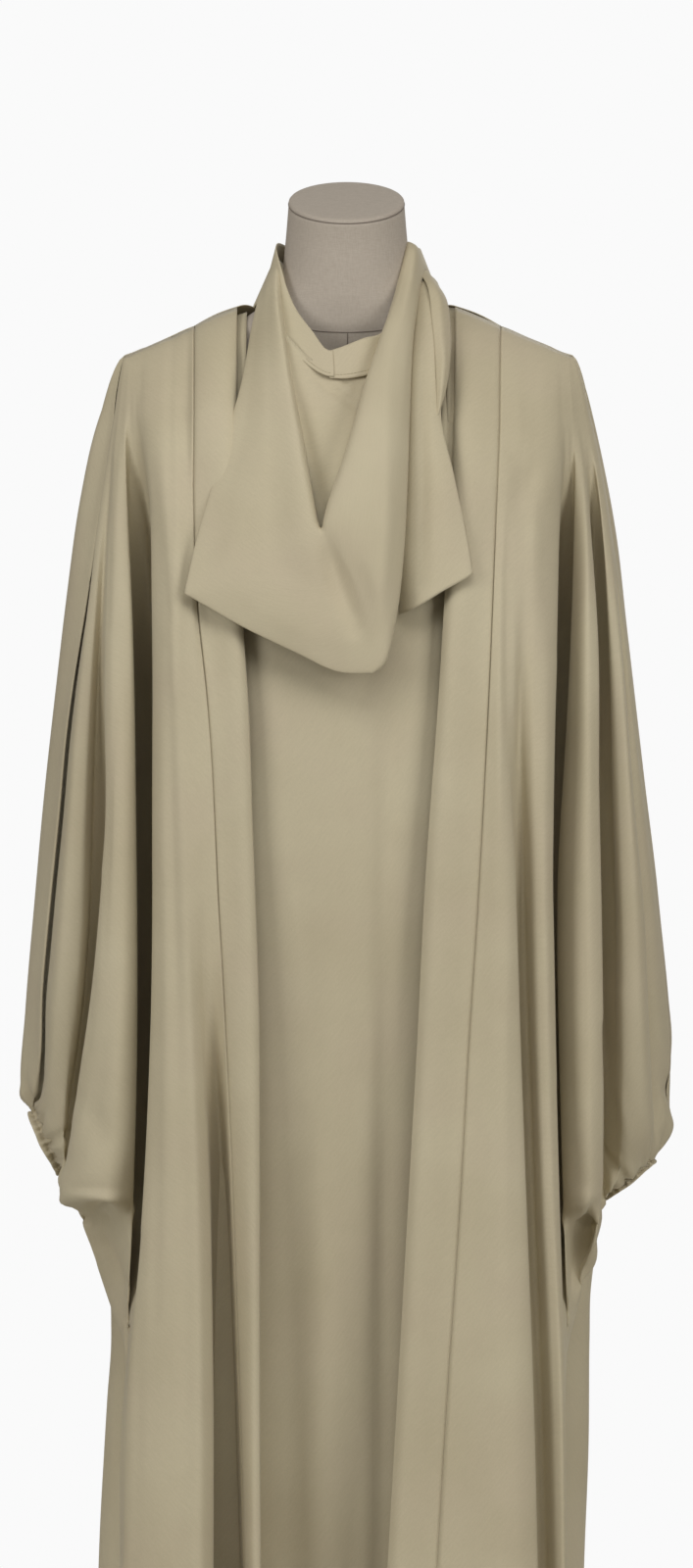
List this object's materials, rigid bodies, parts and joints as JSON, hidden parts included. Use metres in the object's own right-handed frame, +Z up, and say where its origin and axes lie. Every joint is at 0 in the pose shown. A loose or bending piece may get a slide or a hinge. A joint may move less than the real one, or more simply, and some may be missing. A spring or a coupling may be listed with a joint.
{
  "type": "abaya cloak on a dress form",
  "caption": "Open batwing abaya with wide front bands, gathered cuffs, an under-dress and a draped scarf collar, worn by a limbless dress form on a stand.",
  "frame": {"origin": "centre of the base's underside, under the pole, on the floor", "axes": "+Z up along the pole, -Y out of the wearer's chest, +X to the wearer's left"},
  "size_m": [0.6356, 0.408, 1.5627],
  "materials": {
    "crepe": "smooth fine crepe twill, matte with a soft sheen, sand khaki",
    "linen": "plain-weave linen cover, matte, grey beige",
    "steel": "brushed steel, satin"
  },
  "bodies": {
    "root": {"cloak_back_left": "crepe", "cloak_back_right": "crepe", "cloak_front_left": "crepe", "cloak_front_right": "crepe", "cloak_band_left": "crepe", "cloak_band_right": "crepe", "cloak_neck_band": "crepe", "cuff_left": "crepe", "cuff_right": "crepe", "under_front": "crepe", "under_back": "crepe", "under_strap_left": "crepe", "under_strap_right": "crepe", "neckband": "crepe", "collar_bib": "crepe", "collar_drape": "crepe", "collar_fall": "crepe", "collar_back": "crepe", "form_torso": "linen", "form_cap": "linen", "stand_pole": "steel", "stand_base": "steel"}
  },
  "joints": []
}
